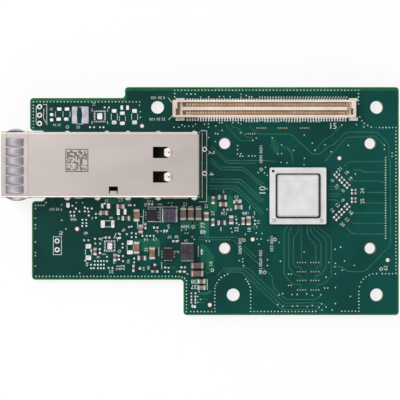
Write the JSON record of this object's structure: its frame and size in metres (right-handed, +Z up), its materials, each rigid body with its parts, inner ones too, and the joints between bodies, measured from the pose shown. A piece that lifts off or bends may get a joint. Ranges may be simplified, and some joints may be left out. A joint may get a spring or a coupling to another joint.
{
  "type": "server network mezzanine card",
  "caption": "Stepped circuit board with a pluggable-module port cage, a long board-to-board connector, a lidded processor and its surface-mounted power parts.",
  "frame": {"origin": "midway between the two rear mounting holes, in the plane of the board's underside", "axes": "+X from the port towards the rear edge, +Y towards the mezzanine connector, +Z up from the component side"},
  "size_m": [0.1171, 0.068, 0.0132],
  "materials": {
    "solder_mask": "semi-gloss green coating on glass laminate",
    "cage_sheet": "matt tin-nickel plate on folded sheet",
    "spring_sheet": "bright spring strip",
    "black_plastic": "moulded, matt",
    "cream_plastic": "moulded, matt",
    "gold_plate": "plated and formed",
    "tinned_metal": "tinned",
    "laminate": "laminated",
    "plated_lid": "bead-blasted plate",
    "moulded_core": "pressed powder",
    "dark_package": "moulded, matt",
    "brown_ceramic": "fired",
    "tan_ceramic": "fired",
    "white_ceramic": "fired"
  },
  "bodies": {
    "root": {"circuit_board": "solder_mask", "cage_cover": "cage_sheet", "cage_base": "cage_sheet", "emi_spring_collar": "spring_sheet", "port_connector_housing": "black_plastic", "port_connector_contacts": "gold_plate", "mezzanine_connector_housing": "cream_plastic", "mezzanine_connector_contacts": "gold_plate", "mezzanine_hold_downs": "tinned_metal", "processor_substrate": "laminate", "processor_lid": "plated_lid", "processor_solder_balls": "tinned_metal", "left_inductor_core": "moulded_core", "left_inductor_terminals": "tinned_metal", "lower_inductor_core": "moulded_core", "lower_inductor_terminals": "tinned_metal", "left_regulator_body": "dark_package", "left_regulator_lands": "tinned_metal", "lower_regulator_body": "dark_package", "lower_regulator_lands": "tinned_metal", "transistor_bodies": "dark_package", "transistor_leads": "tinned_metal", "large_capacitor_bodies": "brown_ceramic", "large_capacitor_ends": "tinned_metal", "tan_capacitor_bodies": "tan_ceramic", "tan_capacitor_ends": "tinned_metal", "medium_capacitor_bodies": "tan_ceramic", "medium_capacitor_ends": "tinned_metal", "medium_resistor_bodies": "white_ceramic", "medium_resistor_ends": "tinned_metal", "medium_resistor_faces": "dark_package", "small_capacitor_bodies": "tan_ceramic", "small_capacitor_ends": "tinned_metal", "tiny_part_bodies": "tan_ceramic", "tiny_part_ends": "tinned_metal", "coupling_capacitor_bodies": "tan_ceramic", "coupling_capacitor_ends": "tinned_metal", "bypass_capacitor_bodies": "tan_ceramic", "bypass_capacitor_ends": "tinned_metal"}
  },
  "joints": []
}
